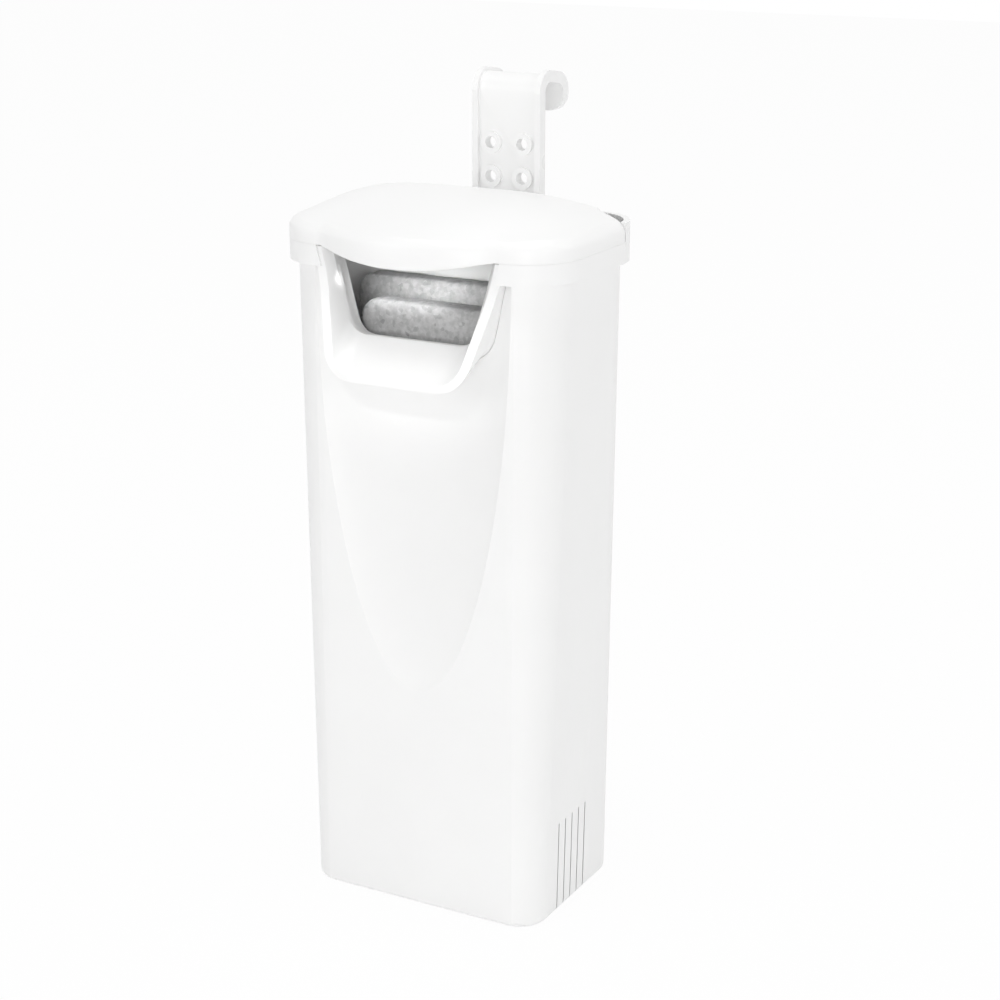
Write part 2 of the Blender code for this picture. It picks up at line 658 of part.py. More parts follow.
def hanger_rings():
    """Channel sections along the hook, from the plate's foot to the end of the rear leg."""
    top_angle = math.pi / 2 - HANGER_SAG
    bend_z = HANGER_TOP_Z - HANGER_RIM - HANGER_STRAP - HANGER_BEND
    first = Vector((HANGER_BACK_Y + HANGER_BEND, bend_z))
    along = Vector((math.sin(top_angle), -math.cos(top_angle)))
    span = (HANGER_GAP - 2 * HANGER_BEND) / along.x
    second = first + along * span
    stations = [(Vector((HANGER_BACK_Y, HANGER_LOW_Z)), math.pi, 0.0)]
    for centre, start, end in ((first, math.pi, top_angle), (second, top_angle, 0.0)):
        for i in range(HANGER_STEPS + 1):
            angle = start + (end - start) * i / HANGER_STEPS
            point = centre + HANGER_BEND * Vector((math.cos(angle), math.sin(angle)))
            stations.append((point, angle, 0.0))
    leg_top = stations[-1][0]
    for i in range(HANGER_STEPS + 1):
        turn = math.pi / 2 * i / HANGER_STEPS
        drop = HANGER_LEG + HANGER_LEG_ROUND * math.sin(turn)
        inset = HANGER_LEG_ROUND * (1 - math.cos(turn)) * HANGER_LEG_NARROWING
        stations.append((leg_top - Vector((0, drop)), 0.0, inset))
    full = HANGER_STRAP + HANGER_RIM
    rings = []
    for point, angle, inset in stations:
        half = HANGER_HALF_WIDTH - inset
        inner = half - HANGER_RIM_WIDTH
        section = ((-half, 0), (half, 0), (half, full), (inner, full), (inner, HANGER_STRAP),
                   (-inner, HANGER_STRAP), (-inner, full), (-half, full))
        normal = Vector((math.cos(angle), math.sin(angle)))
        rings.append([(HANGER_MIDDLE_X + x, point.x + normal.x * n, point.y + normal.y * n)
                      for x, n in section])
    return rings


def build_hanger():
    """The hook with its rows of ringed holes."""
    hanger = part("hanger", loft(hanger_rings()), WHITE, 0.34)
    face_y = HANGER_FRONT_Y + HANGER_RIM
    boss_length = HOLE_BOSS + HANGER_STRAP / 2
    boss_middle = face_y - HOLE_BOSS + boss_length / 2
    places = hole_places(0)
    bosses = [Vector((x, boss_middle, z)) for x, z in places]
    holes = [Vector((x, face_y, z)) for x, z in places]
    join(hanger, cutter("hole_bosses", rods(bosses, HOLE_BOSS_RADIUS, boss_length, "Y", 20)))
    depth = 4 * HANGER_STRAP + 2 * HOLE_BOSS
    cut(hanger, cutter("peg_holes", rods(holes, HOLE_RADIUS, depth, "Y", SMALL_STEPS)))
    return hanger


def nozzle_x():
    """The middle of the pump cover, where its outlet stands."""
    return PUMP_BODY_RIGHT + SEAT_GAP + COVER_LENGTH / 2


def build_pump_body():
    """The potted motor block, with the rotor's well in its right-hand end."""
    rings = []
    for x, inset in ((PUMP_BODY_LEFT, PUMP_BODY_CHAMFER), (PUMP_BODY_LEFT + PUMP_BODY_CHAMFER, 0),
                     (PUMP_BODY_RIGHT, 0)):
        face = outline(PUMP_BODY_HALF - inset, PUMP_BODY_HALF - inset, PUMP_BODY_ROUND, 0)
        rings.append([(x, p.x, PUMP_AXIS_Z + p.y) for p in face])
    body = part("pump_body", loft(rings), DARK_PLASTIC, 0.45)
    well_middle = PUMP_AXIS + Vector((PUMP_BODY_RIGHT + OVERCUT / 2 - WELL_DEPTH / 2, 0, 0))
    cut(body, cutter("rotor_well", rods([well_middle], WELL_RADIUS, WELL_DEPTH + OVERCUT, "X")))
    bush_end = PUMP_BODY_RIGHT - WELL_DEPTH
    pocket_length = BUSH_LENGTH + SEAT_GAP + OVERCUT
    pocket = PUMP_AXIS + Vector((bush_end + OVERCUT - pocket_length / 2, 0, 0))
    cut(body, cutter("bush_pocket", rods([pocket], BUSH_RADIUS + SEAT_GAP, pocket_length, "X")))
    return body


def build_pump_cover():
    """The impeller chamber, with inlets in its end and the outlet on top."""
    left = PUMP_BODY_RIGHT + SEAT_GAP
    right = left + COVER_LENGTH
    middle = PUMP_AXIS + Vector(((left + right) / 2, 0, 0))
    cover = part("pump_cover", rods([middle], COVER_RADIUS, COVER_LENGTH, "X", 32), DARK_PLASTIC, 0.4)
    nozzle_low = PUMP_AXIS_Z + COVER_RADIUS / 2
    nozzle_middle = Vector((middle.x, 0, (nozzle_low + NOZZLE_TOP_Z) / 2))
    nozzle_length = NOZZLE_TOP_Z - nozzle_low
    join(cover, cutter("nozzle", rods([nozzle_middle], NOZZLE_RADIUS + NOZZLE_WALL, nozzle_length, "Z")))
    chamber = COVER_LENGTH - COVER_WALL
    chamber_middle = PUMP_AXIS + Vector((left - OVERCUT / 2 + chamber / 2, 0, 0))
    cut(cover, cutter("chamber", rods([chamber_middle], COVER_RADIUS - COVER_WALL - 2 * SEAL_SECTION,
                                      chamber + OVERCUT, "X", 32)))
    cut(cover, cutter("nozzle_bore", rods([nozzle_middle + Vector((0, 0, OVERCUT))], NOZZLE_RADIUS,
                                          nozzle_length + OVERCUT, "Z")))
    seat = SEAL_SECTION + SEAT_GAP
    groove_depth = 2 * SEAL_SECTION + SEAT_GAP
    groove = tube_profile(SEAL_RADIUS - seat, SEAL_RADIUS + seat, -OVERCUT, groove_depth)
    cut(cover, cutter("seal_groove", turned(groove, "X", PUMP_AXIS + Vector((left, 0, 0)), 32)))
    boss_low = right - COVER_WALL - BUSH_LENGTH
    boss_middle = PUMP_AXIS + Vector(((boss_low + right) / 2 - COVER_WALL / 4, 0, 0))
    boss_length = BUSH_LENGTH + COVER_WALL / 2
    join(cover, cutter("bush_boss", rods([boss_middle], BUSH_RADIUS + COVER_WALL / 2, boss_length, "X")))
    pocket_length = BUSH_LENGTH + SEAT_GAP + OVERCUT
    pocket = PUMP_AXIS + Vector((boss_low + BUSH_LENGTH + SEAT_GAP - pocket_length / 2, 0, 0))
    cut(cover, cutter("cover_pocket", rods([pocket], BUSH_RADIUS + SEAT_GAP, pocket_length, "X")))
    inlets = []
    for i in range(INLET_COUNT):
        angle = math.tau * i / INLET_COUNT
        spoke = Vector((0, math.cos(angle), math.sin(angle))) * INLET_CIRCLE
        inlets.append(PUMP_AXIS + spoke + Vector((right, 0, 0)))
    cut(cover, cutter("inlets", rods(inlets, INLET_RADIUS, 4 * COVER_WALL, "X", SMALL_STEPS)))
    return cover


def build_rotor():
    """The magnet, the impeller on its end, the fixed shaft and the two bushes that hold it."""
    well_end = PUMP_BODY_RIGHT - WELL_DEPTH
    cover_right = PUMP_BODY_RIGHT + SEAT_GAP + COVER_LENGTH
    bush_front = cover_right - COVER_WALL - BUSH_LENGTH
    bore = SHAFT_RADIUS + SHAFT_GAP
    bush = tube_profile(bore, BUSH_RADIUS, -BUSH_LENGTH, 0)
    rear_bush = turned(bush, "X", PUMP_AXIS + Vector((well_end, 0, 0)))
    front_bush = turned(bush, "X", PUMP_AXIS + Vector((bush_front + BUSH_LENGTH, 0, 0)))
    shaft_left = well_end - BUSH_LENGTH
    shaft_right = bush_front + BUSH_LENGTH
    shaft_middle = PUMP_AXIS + Vector(((shaft_left + shaft_right) / 2, 0, 0))
    magnet_left = well_end + ROTOR_GAP
    magnet_right = PUMP_BODY_RIGHT - ROTOR_GAP
    magnet = turned(tube_profile(bore, WELL_RADIUS - ROTOR_GAP, magnet_left, magnet_right), "X", Vector())
    hub_left = magnet_right + SEAT_GAP
    hub_right = hub_left + BLADE_LENGTH
    hub = turned(tube_profile(bore, HUB_RADIUS, hub_left, hub_right), "X", Vector())
    shaft = rods([shaft_middle], SHAFT_RADIUS, shaft_right - shaft_left, "X", SMALL_STEPS)
    pieces = [part("rear_shaft_bush", rear_bush, BLACK_RUBBER, 0.8),
              part("front_shaft_bush", front_bush, BLACK_RUBBER, 0.8),
              part("impeller_shaft", shaft, CERAMIC, 0.2)]
    rotor = part("rotor_magnet", magnet, MAGNET_GREY, 0.5)
    impeller = part("impeller", hub, WHITE, 0.4)
    blade_tip = COVER_RADIUS - COVER_WALL - 2 * SEAL_SECTION - BLADE_GAP
    for i in range(BLADE_COUNT):
        bm = box((hub_left + BLADE_GAP, -BLADE_THICK / 2, (bore + HUB_RADIUS) / 2),
                 (hub_right - SEAT_GAP, BLADE_THICK / 2, blade_tip))
        turn = Matrix.Rotation(math.tau * i / BLADE_COUNT, 3, "X")
        bmesh.ops.rotate(bm, verts=bm.verts, cent=(0, 0, 0), matrix=turn)
        blade = cutter("blade", bm)
        blade.location = PUMP_AXIS
        join(impeller, blade)
    for moving in (rotor, impeller):
        moving.location = PUMP_AXIS
    return pieces, [rotor, impeller]


def build_pump_fittings():
    """The seal, the feet, the cord gland, and the tube that leads up to the tray."""
    pieces = []
    rings = []
    seal_x = PUMP_BODY_RIGHT + 2 * SEAT_GAP + SEAL_SECTION
    along = Vector((1, 0, 0))
    for i in range(SEAL_STEPS):
        angle = math.tau * i / SEAL_STEPS
        out = Vector((0, math.cos(angle), math.sin(angle)))
        centre = PUMP_AXIS + out * SEAL_RADIUS + along * seal_x
        turns = [math.tau * k / SEAL_SECTION_STEPS for k in range(SEAL_SECTION_STEPS)]
        rings.append([centre + (out * math.cos(t) + along * math.sin(t)) * SEAL_SECTION for t in turns])
    pieces.append(part("seal_ring", loft(rings, closed=True), BLACK_RUBBER, 0.7))

    foot_low = CASE_FLOOR + SEAT_GAP
    foot_high = PUMP_AXIS_Z - PUMP_BODY_HALF - SEAT_GAP
    inset = FOOT_RADIUS + PUMP_BODY_ROUND / 2
    spots = [(x, y) for x in (PUMP_BODY_LEFT + inset, PUMP_BODY_RIGHT - inset)
             for y in (-PUMP_BODY_HALF + inset, PUMP_BODY_HALF - inset)]
    waist = (foot_low + foot_high) / 2
    for number, (x, y) in enumerate(spots, 1):
        profile = [(FOOT_RADIUS, foot_low), (FOOT_RADIUS * FOOT_WAIST, waist),
                   (FOOT_RADIUS * FOOT_HEAD, foot_high), (FOOT_RADIUS * FOOT_HOLE, foot_high),
                   (FOOT_RADIUS * FOOT_HOLE, foot_low)]
        foot = turned(profile, "Z", Vector((x, y, 0)), SMALL_STEPS)
        pieces.append(part(f"pump_foot_{number}", foot, BLACK_RUBBER, 0.8))

    gland_x = PUMP_BODY_LEFT - SEAT_GAP
    hole = GLAND_RADIUS * GLAND_HOLE
    step = -GLAND_LENGTH * GLAND_FLANGE_SHARE
    profile = [(GLAND_FLANGE, 0), (GLAND_FLANGE, step), (GLAND_RADIUS, step),
               (GLAND_RADIUS * GLAND_TIP, -GLAND_LENGTH), (hole, -GLAND_LENGTH), (hole, 0)]
    gland = turned(profile, "X", PUMP_AXIS + Vector((gland_x, 0, 0)), SMALL_STEPS)
    pieces.append(part("cord_gland", gland, BLACK_RUBBER, 0.75))

    inner = max(NOZZLE_RADIUS + NOZZLE_WALL, PORT_RADIUS + PORT_WALL) + SEAT_GAP
    outer = inner + RISER_WALL
    tube_low = NOZZLE_TOP_Z - RISER_OVERLAP
    tube_high = TRAY_FLOOR_Z - GROMMET_HEIGHT - 2 * SEAT_GAP
    centre = Vector((nozzle_x(), 0, 0))
    pieces.append(part("riser_tube", turned(tube_profile(inner, outer, tube_low, tube_high), "Z", centre),
                       WHITE, 0.3))
    grommet_low = tube_high + SEAT_GAP
    profile = tube_profile(inner, inner + GROMMET_WALL, grommet_low, grommet_low + GROMMET_HEIGHT)
    pieces.append(part("tube_grommet", turned(profile, "Z", centre), BLACK_RUBBER, 0.75))
    return pieces


def body_empty(name, place, pieces):
    """An empty that stands for one moving body; its pieces hang from it where they are."""
    empty = bpy.data.objects.new(name, None)
    empty.location = place
    PARTS.objects.link(empty)
    for piece in pieces:
        piece.parent = empty
        piece.matrix_parent_inverse = Matrix.Translation(place).inverted()


case = build_case()
pump_body = build_pump_body()
pump_cover = build_pump_cover()
fixed_rotor_pieces, spinning = build_rotor()
fittings = build_pump_fittings()
body_empty("case_body", Vector((0, 0, 0)), [case, pump_body, pump_cover] + fixed_rotor_pieces + fittings)
body_empty("head_body", Vector((0, 0, CASE_RIM_Z)), [build_spout_frame(), build_tray()] + build_pads())
body_empty("lid_body", Vector((0, 0, LID_LOW_Z)), [build_lid()])
body_empty("hanger_body", Vector((HANGER_MIDDLE_X, HANGER_FRONT_Y, HOLE_TOP_Z)), [build_hanger()])
body_empty("rotor_body", PUMP_AXIS, spinning)
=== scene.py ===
"""Looks of the waterfall internal power filter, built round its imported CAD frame."""
import json
import math

import bmesh
import bpy
from mathutils import Matrix, Vector, noise


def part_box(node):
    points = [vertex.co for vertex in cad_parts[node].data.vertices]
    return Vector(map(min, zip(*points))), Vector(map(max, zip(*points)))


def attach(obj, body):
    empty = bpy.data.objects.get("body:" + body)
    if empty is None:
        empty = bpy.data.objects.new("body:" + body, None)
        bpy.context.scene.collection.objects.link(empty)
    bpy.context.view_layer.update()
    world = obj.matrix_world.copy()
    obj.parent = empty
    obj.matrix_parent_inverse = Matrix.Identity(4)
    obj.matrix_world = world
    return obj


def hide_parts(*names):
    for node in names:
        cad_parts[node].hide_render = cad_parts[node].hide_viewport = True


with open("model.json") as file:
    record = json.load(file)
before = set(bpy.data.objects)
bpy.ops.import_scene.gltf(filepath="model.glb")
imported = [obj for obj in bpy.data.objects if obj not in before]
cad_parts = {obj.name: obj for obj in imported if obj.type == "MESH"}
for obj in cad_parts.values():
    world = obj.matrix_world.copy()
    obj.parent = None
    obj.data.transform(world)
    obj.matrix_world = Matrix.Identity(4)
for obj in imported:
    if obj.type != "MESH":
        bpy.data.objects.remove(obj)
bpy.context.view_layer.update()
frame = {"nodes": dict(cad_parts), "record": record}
MM = 0.001

# Viewpoint: measured from the photograph's edges, with angles in degrees
FOCAL_PIXELS = 2146.0
IMAGE_PIXELS = 1000.0
SENSOR = 36.0
VIEW_AZIMUTH = 28.73
VIEW_ELEVATION = 17.34
VIEW_CENTRE = Vector((0, 0, 100 * MM))
VIEW_SHIFT_RIGHT = 11.17 * MM
VIEW_SHIFT_UP = 15.05 * MM
VIEW_DISTANCE = 615.96 * MM

# Studio: softboxes by name, azimuth and elevation in degrees, distance and watts
ROOM_LIGHT = 0.55
FLOOR_HALF = 3.0
FLOOR_COLOUR = (0.9, 0.9, 0.9, 1)
FLOOR_GLOW = 0.955
LIGHT_AIM = Vector((0, 0, 120 * MM))
SOFTBOX_SIZE = 0.6
SOFTBOXES = (
    ("key_softbox", 24, 5, 1.4, 3.4),
    ("right_softbox", 65, 15, 1.4, 2.0),
    ("left_softbox", -35, 15, 1.4, 1.9),
    ("rear_softbox", 120, 30, 1.4, 1.6),
    ("top_softbox", 0, 85.855, 1.3836, 6.0),
)

# Strip lamps: a tall one near the front, and one under the visor for the pads
STRIP_PLACE = (4 * MM, -130 * MM, 95 * MM)
STRIP_TILT = 0
STRIP_SIZE = (20 * MM, 240 * MM)
STRIP_SPREAD = 180
STRIP_POWER = 0.007
VISOR_LAMP_PLACE = (-9 * MM, -31 * MM, 184.2 * MM)
VISOR_LAMP_TILT = 17
VISOR_LAMP_SIZE = (26 * MM, 3 * MM)
VISOR_LAMP_SPREAD = 50
VISOR_LAMP_POWER = 0.0015

# Snooted lamps into the spout: name, aim, azimuth, elevation, width and height of the beam, watts
SNOOT_DISTANCE = 600 * MM
SNOOT_RADIUS = 12 * MM
SNOOT_BLEND = 0.8
SNOOTS = (
    ("pad_snoot", (-6 * MM, -12 * MM, 168.5 * MM), 20, 8, 60 * MM, 19 * MM, 3.6),
    ("apron_snoot", (1 * MM, -31 * MM, 162 * MM), 12, 36, 58 * MM, 24 * MM, 2.5),
)

# Sizes of the CAD that the finer surfaces follow
FRONT_Y = -26.2 * MM
CHUTE_HALF_WIDTH = 30.7 * MM
CHUTE_TIP_Z = 66.7 * MM
CHUTE_CENTRE_Z = 192.0 * MM
CHUTE_DEPTH = 6.0 * MM
CHUTE_BULGE = 4.0 * MM
SLOT_COUNT = 5
SLOT_PITCH = 4.1 * MM
SLOT_WIDTH = 1.8 * MM
SLOT_MIDDLE_Y = -2.8 * MM
SLOT_TOP_Z = 28.1 * MM
SLOT_HALF_X = 35.6 * MM
SLOT_DRAFT = math.tan(math.radians(1.2))
LID_HALF = Vector((43.82 * MM, 28.7 * MM))
LID_LOW_Z = 191.7 * MM
LID_EDGE_Z = 196.2 * MM
LID_CROWN = 8.7 * MM
LID_SIDE_POWER = 4.0
LID_END_POWER = 1.8
LID_ROUND_DEPTH = 2.5 * MM
COLLAR_LOW_Z = 185.7 * MM
SPOUT_BACK_Y = -19.0 * MM
LIP_FROM_Y = -27.5 * MM

# What the finer surfaces change
SLOT_EDGE_SHARE = 0.3
VISOR_REACH = 7.3 * MM
VISOR_BLEND = 32.0 * MM
LID_SETTLE = 0.27 * MM
SPOUT_SETTLE = 0.22 * MM
LIP_ROUND = 1.05 * MM
EDGE_SHARE = 0.3
EASED = {"hanger": 0.35 * MM}
EASE_SEGMENTS = 3
LIP_SEGMENTS = 4

# Cuts, tolerances and angles in degrees
FINE_CUTS = 2
WELD_GAP = 0.002 * MM
SAME_PLACE = 0.02 * MM
SAME_PLANE = 0.01 * MM
NEAR_EGG = 0.012
NEAR_DOME = 0.25 * MM
FLAT_ANGLE = 0.15
SMOOTH_ANGLE = 30
BEVEL_ANGLE = 42

# How faces are picked: parts of a unit normal along an axis, and lengths
CHUTE_FACING = -0.3
FRONT_FACING = 0.99999
CHUTE_INSET = 0.5 * MM
DOME_FACING = 0.2
UPPER_FACING = 0.05
SIDE_FACING = 0.45
SPOUT_DOWNWARD = -20 * MM

# Foam
FOAM_SPACING = 1.2 * MM
FOAM_CORNER = 5.0 * MM
FOAM_EDGE = 2.0 * MM
FOAM_ROUGHNESS = 0.3 * MM
FOAM_LUMPS = 220
FOAM_GRAINS = 800
FOAM_LEAST_STEPS = 3
FOAM_LUMP_SHARE = 0.6
FOAM_SINK = 0.5
FOAM_SMOOTH_ANGLE = 180
ALONG_AXIS = 1e-6
TINY = 1e-9

# Linear colours
WHITE_PLASTIC = (0.925, 0.925, 0.922)
TRAY_WHITE = (0.86, 0.86, 0.855)
FOAM_DARK = (0.47, 0.47, 0.468)
FOAM_LIGHT = (0.59, 0.59, 0.587)
PUMP_DARK = (0.045, 0.05, 0.055)
RUBBER_BLACK = (0.022, 0.022, 0.023)
FERRITE = (0.085, 0.085, 0.09)
CERAMIC_IVORY = (0.84, 0.83, 0.80)

# Surface finish: noise scales per metre, shares of tone, and strengths and depths of bump
NOISE_LOW = 0.3
NOISE_HIGH = 0.7
PATCH_SCALE = 30
GRAIN_SCALE = 1600
GRAIN_DEPTH = 0.02 * MM
DRAW_SCALE = 260
DRAW_STRETCH = (1, 1, 0.03)
DRAW_STRENGTH = 0.10
DRAW_DEPTH = 0.05 * MM
PLASTIC_SHADE = 0.985
PLASTIC_IOR = 1.49
STRAND_SCALE = 620
STRAND_STRENGTH = 0.35
STRAND_DEPTH = 0.4 * MM
PORE_SCALE = 900
PORE_SHARE = 0.35
FOAM_DULLNESS = 0.95
FOAM_SHINE = 0.15
CLOUD_SCALE = 60
CLOUD_SHADE = 0.8


def new_material(name):
    """A material with a plain Principled shader; returns it with its nodes, links and shader."""
    made = bpy.data.materials.new(name)
    made.use_nodes = True
    nodes = made.node_tree.nodes
    return made, nodes, made.node_tree.links, nodes["Principled BSDF"]


def noise_node(nodes, links, coords, scale, detail=3.0, stretch=(1, 1, 1)):
    """Noise in object space, optionally stretched along an axis."""
    mapping = nodes.new("ShaderNodeMapping")
    mapping.inputs["Scale"].default_value = stretch
    links.new(coords.outputs["Object"], mapping.inputs["Vector"])
    made = nodes.new("ShaderNodeTexNoise")
    made.inputs["Scale"].default_value = scale
    made.inputs["Detail"].default_value = detail
    links.new(mapping.outputs["Vector"], made.inputs["Vector"])
    return made


def ramp_node(nodes, links, source, low, high, first, second):
    """A two-stop colour ramp on a noise value."""
    made = nodes.new("ShaderNodeValToRGB")
    made.color_ramp.elements[0].position = low
    made.color_ramp.elements[1].position = high
    made.color_ramp.elements[0].color = (*first, 1)
    made.color_ramp.elements[1].color = (*second, 1)
    links.new(source.outputs["Fac"], made.inputs["Fac"])
    return made


def range_node(nodes, links, source, low, high):
    """A noise value mapped on to a range."""
    made = nodes.new("ShaderNodeMapRange")
    made.inputs["From Min"].default_value = NOISE_LOW
    made.inputs["From Max"].default_value = NOISE_HIGH
    made.inputs["To Min"].default_value = low
    made.inputs["To Max"].default_value = high
    links.new(source.outputs["Fac"], made.inputs["Value"])
    return made


def bump_chain(nodes, links, shader, steps):
    """Bumps one on another: each step is a height source, a strength and a depth in metres."""
    previous = None
    for source, strength, depth in steps:
        bump = nodes.new("ShaderNodeBump")
        bump.inputs["Strength"].default_value = strength
        bump.inputs["Distance"].default_value = depth
        links.new(source.outputs["Fac"], bump.inputs["Height"])
        if previous:
            links.new(previous.outputs["Normal"], bump.inputs["Normal"])
        previous = bump
    links.new(previous.outputs["Normal"], shader.inputs["Normal"])


def moulded_plastic(name, colour, rough=(0.28, 0.38), grain=0.05):
    """Injection-moulded plastic: faint draw marks, fine grain and uneven gloss."""
    made, nodes, links, shader = new_material(name)
    coords = nodes.new("ShaderNodeTexCoord")
    patchy = noise_node(nodes, links, coords, PATCH_SCALE, detail=2)
    fine = noise_node(nodes, links, coords, GRAIN_SCALE, detail=2)
    drawn = noise_node(nodes, links, coords, DRAW_SCALE, detail=2, stretch=DRAW_STRETCH)
    shade = tuple(c * PLASTIC_SHADE for c in colour)
    tint = ramp_node(nodes, links, patchy, low=0.35, high=0.65, first=shade, second=colour)
    links.new(tint.outputs["Color"], shader.inputs["Base Color"])
    gloss = range_node(nodes, links, patchy, *rough)
    links.new(gloss.outputs["Result"], shader.inputs["Roughness"])
    steps = [(drawn, DRAW_STRENGTH, DRAW_DEPTH), (fine, grain, GRAIN_DEPTH)]
    bump_chain(nodes, links, shader, steps)
    shader.inputs["IOR"].default_value = PLASTIC_IOR
    return made


def bonded_foam(name):
    """Open grey filter foam: dark pores, pale strands and a soft bumpy face."""
    made, nodes, links, shader = new_material(name)
    coords = nodes.new("ShaderNodeTexCoord")
    grains = noise_node(nodes, links, coords, STRAND_SCALE, detail=4)
    pores = nodes.new("ShaderNodeTexVoronoi")
    pores.inputs["Scale"].default_value = PORE_SCALE
    links.new(coords.outputs["Object"], pores.inputs["Vector"])
    tint = ramp_node(nodes, links, grains, low=0.33, high=0.68, first=FOAM_DARK, second=FOAM_LIGHT)
    mix = nodes.new("ShaderNodeMix")
    mix.data_type = "RGBA"
    mix.blend_type = "MULTIPLY"
    mix.inputs["Factor"].default_value = PORE_SHARE
    links.new(tint.outputs["Color"], mix.inputs["A"])
    links.new(pores.outputs["Color"], mix.inputs["B"])
    grey = nodes.new("ShaderNodeHueSaturation")
    grey.inputs["Saturation"].default_value = 0.0
    links.new(mix.outputs["Result"], grey.inputs["Color"])
    links.new(grey.outputs["Color"], shader.inputs["Base Color"])
    bump_chain(nodes, links, shader, [(grains, STRAND_STRENGTH, STRAND_DEPTH)])
    shader.inputs["Roughness"].default_value = FOAM_DULLNESS
    shader.inputs["Specular IOR Level"].default_value = FOAM_SHINE
    return made


def plain_compound(name, colour, rough, scale, grain, depth):
    """Rubber, ferrite or ceramic: one colour with its own fine surface."""
    made, nodes, links, shader = new_material(name)
    coords = nodes.new("ShaderNodeTexCoord")
    cloud = noise_node(nodes, links, coords, CLOUD_SCALE)
    fine = noise_node(nodes, links, coords, scale)
    shade = tuple(c * CLOUD_SHADE for c in colour)
    tint = ramp_node(nodes, links, cloud, low=NOISE_LOW, high=NOISE_HIGH, first=shade, second=colour)
    links.new(tint.outputs["Color"], shader.inputs["Base Color"])
    gloss = range_node(nodes, links, cloud, *rough)
    links.new(gloss.outputs["Result"], shader.inputs["Roughness"])
    bump_chain(nodes, links, shader, [(fine, grain, depth)])
    return made


MATERIALS = {
    "case_plastic": moulded_plastic("case_plastic", WHITE_PLASTIC),
    "tray_plastic": moulded_plastic("tray_plastic", TRAY_WHITE, rough=(0.4, 0.5), grain=0.08),
    "hanger_plastic": moulded_plastic("hanger_plastic", WHITE_PLASTIC, rough=(0.26, 0.34), grain=0.04),
    "impeller_plastic": moulded_plastic("impeller_plastic", WHITE_PLASTIC, rough=(0.3, 0.4)),
    "pump_plastic": moulded_plastic("pump_plastic", PUMP_DARK, rough=(0.38, 0.52), grain=0.15),
    "pad_foam": bonded_foam("pad_foam"),
    "rubber": plain_compound(
        "rubber", RUBBER_BLACK, rough=(0.6, 0.8), scale=1400, grain=0.2, depth=0.03 * MM,
    ),
    "magnet": plain_compound(
        "magnet", FERRITE, rough=(0.45, 0.6), scale=2200, grain=0.25, depth=0.02 * MM,
    ),
    "ceramic": plain_compound(
        "ceramic", CERAMIC_IVORY, rough=(0.12, 0.2), scale=900, grain=0.03, depth=0.01 * MM,
    ),
}
NODE_SLOT = {item["node"]: item["material_slot"] for item in frame["record"]["subparts"]}
NODE_BODY = {node: body for body, nodes in frame["record"]["behaviour"]["bodies"].items() for node in nodes}


def outward(azimuth, elevation):
    """Direction out from the part, in degrees round from its front and up."""
    turn = math.radians(azimuth)
    rise = math.radians(elevation)
    return Vector((math.sin(turn) * math.cos(rise), -math.cos(turn) * math.cos(rise), math.sin(rise)))


def place_camera():
    """The camera at the photograph's viewpoint."""
    turn = math.radians(VIEW_AZIMUTH)
    right = Vector((math.cos(turn), math.sin(turn), 0))
    back = outward(VIEW_AZIMUTH, VIEW_ELEVATION)
    up = back.cross(right)
    data = bpy.data.cameras.new("photo_view")
    data.sensor_width = SENSOR
    data.lens = SENSOR * FOCAL_PIXELS / IMAGE_PIXELS
    camera = bpy.data.objects.new("photo_view", data)
    bpy.context.scene.collection.objects.link(camera)
    axes = Matrix((right, up, back)).transposed().to_4x4()
    place = VIEW_CENTRE + right * VIEW_SHIFT_RIGHT + up * VIEW_SHIFT_UP + back * VIEW_DISTANCE
    camera.matrix_world = Matrix.Translation(place) @ axes
    bpy.context.scene.camera = camera


def seen_rays(nodes, links):
    """One where a ray comes from the camera, a mirror or glass."""
    path = nodes.new("ShaderNodeLightPath")
    total = path.outputs["Is Camera Ray"]
    for name in ("Is Glossy Ray", "Is Transmission Ray"):
        either = nodes.new("ShaderNodeMath")
        either.operation = "MAXIMUM"
        links.new(total, either.inputs[0])
        links.new(path.outputs[name], either.inputs[1])
        total = either.outputs[0]
    return total


def place_floor():
    """A plain white floor that shows a faint shadow."""
    made, nodes, links, shader = new_material("floor")
    shader.inputs["Base Color"].default_value = FLOOR_COLOUR
    shader.inputs["Roughness"].default_value = 1.0
    shader.inputs["Specular IOR Level"].default_value = 0.0
    glow = nodes.new("ShaderNodeEmission")
    share = nodes.new("ShaderNodeMath")
    share.operation = "MULTIPLY"
    share.inputs[1].default_value = FLOOR_GLOW
    links.new(seen_rays(nodes, links), share.inputs[0])
    mix = nodes.new("ShaderNodeMixShader")
    links.new(share.outputs[0], mix.inputs["Fac"])
    links.new(shader.outputs[0], mix.inputs[1])
    links.new(glow.outputs[0], mix.inputs[2])
    links.new(mix.outputs[0], nodes["Material Output"].inputs["Surface"])
    bm = bmesh.new()
    bmesh.ops.create_grid(bm, x_segments=1, y_segments=1, size=FLOOR_HALF)
    mesh = bpy.data.meshes.new("floor")
    bm.to_mesh(mesh)
    bm.free()
    mesh.materials.append(made)
    floor = bpy.data.objects.new("floor", mesh)
    bpy.context.scene.collection.objects.link(floor)


